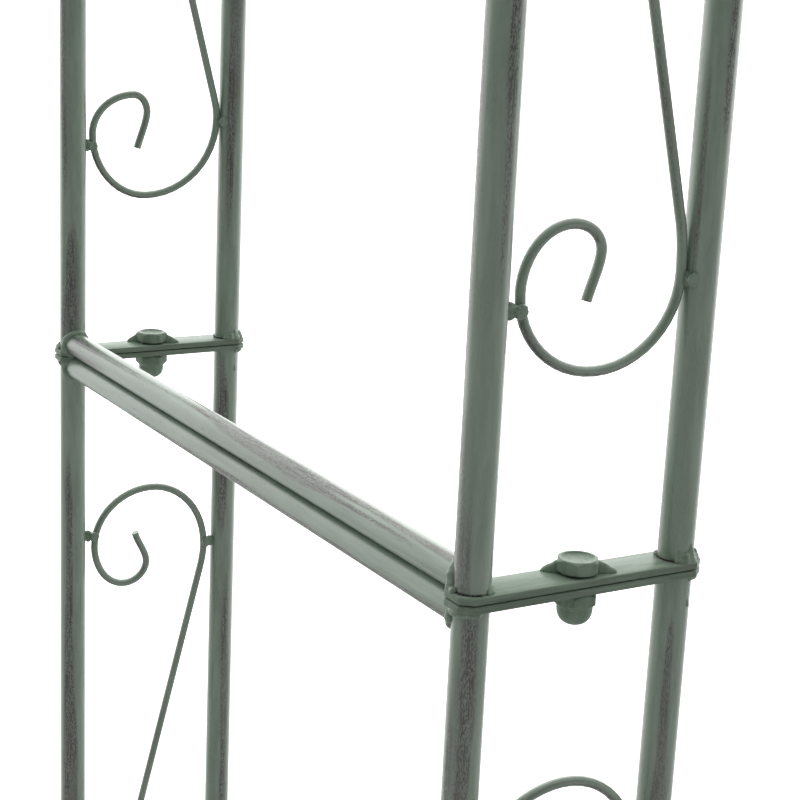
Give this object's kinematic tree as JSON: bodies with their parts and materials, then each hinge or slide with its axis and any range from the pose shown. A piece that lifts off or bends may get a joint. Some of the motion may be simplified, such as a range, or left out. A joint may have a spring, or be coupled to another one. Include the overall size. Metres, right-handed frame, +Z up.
{
  "type": "garden trellis arch",
  "caption": "Freestanding round-topped garden arch of welded tube with wire scroll panels, cross rungs for climbing plants and bolted flat-bar joints.",
  "frame": {"origin": "on the ground, midway between the legs and between the front and back frames", "axes": "+X along the span to the right leg, +Y from the front frame to the back frame, +Z up"},
  "size_m": [1.215, 0.365, 2.2545],
  "materials": {
    "tubes": "satin sage green paint with dark brush marks",
    "rungs": "satin sage green paint with dark brush marks",
    "scrolls": "satin sage green paint, rubbed dark on the bends",
    "plates": "satin sage green paint with dark worn edges",
    "fasteners": "satin sage green paint with dark corners"
  },
  "bodies": {
    "root": {"leg_outer_tube_left_front": "tubes", "leg_inner_tube_left_front": "tubes", "leg_scrollwork_left_front": "scrolls", "leg_top_plate_left_front": "plates", "bow_outer_tube_left_front": "tubes", "bow_inner_tube_left_front": "tubes", "bow_scrollwork_left_front": "scrolls", "bow_bottom_plate_left_front": "plates", "bow_crown_plate_left_front": "plates", "leg_outer_tube_left_back": "tubes", "leg_inner_tube_left_back": "tubes", "leg_scrollwork_left_back": "scrolls", "leg_top_plate_left_back": "plates", "bow_outer_tube_left_back": "tubes", "bow_inner_tube_left_back": "tubes", "bow_scrollwork_left_back": "scrolls", "bow_bottom_plate_left_back": "plates", "bow_crown_plate_left_back": "plates", "leg_foot_rung_left": "rungs", "leg_middle_rung_left": "rungs", "leg_top_rung_left": "rungs", "bow_bottom_rung_left": "rungs", "bow_shoulder_rung_left": "rungs", "bow_crown_rung_left": "rungs", "leg_outer_tube_right_front": "tubes", "leg_inner_tube_right_front": "tubes", "leg_scrollwork_right_front": "scrolls", "leg_top_plate_right_front": "plates", "bow_outer_tube_right_front": "tubes", "bow_inner_tube_right_front": "tubes", "bow_scrollwork_right_front": "scrolls", "bow_bottom_plate_right_front": "plates", "bow_crown_plate_right_front": "plates", "leg_outer_tube_right_back": "tubes", "leg_inner_tube_right_back": "tubes", "leg_scrollwork_right_back": "scrolls", "leg_top_plate_right_back": "plates", "bow_outer_tube_right_back": "tubes", "bow_inner_tube_right_back": "tubes", "bow_scrollwork_right_back": "scrolls", "bow_bottom_plate_right_back": "plates", "bow_crown_plate_right_back": "plates", "leg_foot_rung_right": "rungs", "leg_middle_rung_right": "rungs", "leg_top_rung_right": "rungs", "bow_bottom_rung_right": "rungs", "bow_shoulder_rung_right": "rungs", "bow_crown_rung_right": "rungs", "hex_bolt_left_front": "fasteners", "dome_nut_left_front": "fasteners", "hex_bolt_left_back": "fasteners", "dome_nut_left_back": "fasteners", "hex_bolt_right_front": "fasteners", "dome_nut_right_front": "fasteners", "hex_bolt_right_back": "fasteners", "dome_nut_right_back": "fasteners", "hex_bolt_crown_front": "fasteners", "dome_nut_crown_front": "fasteners", "hex_bolt_crown_back": "fasteners", "dome_nut_crown_back": "fasteners"}
  },
  "joints": []
}
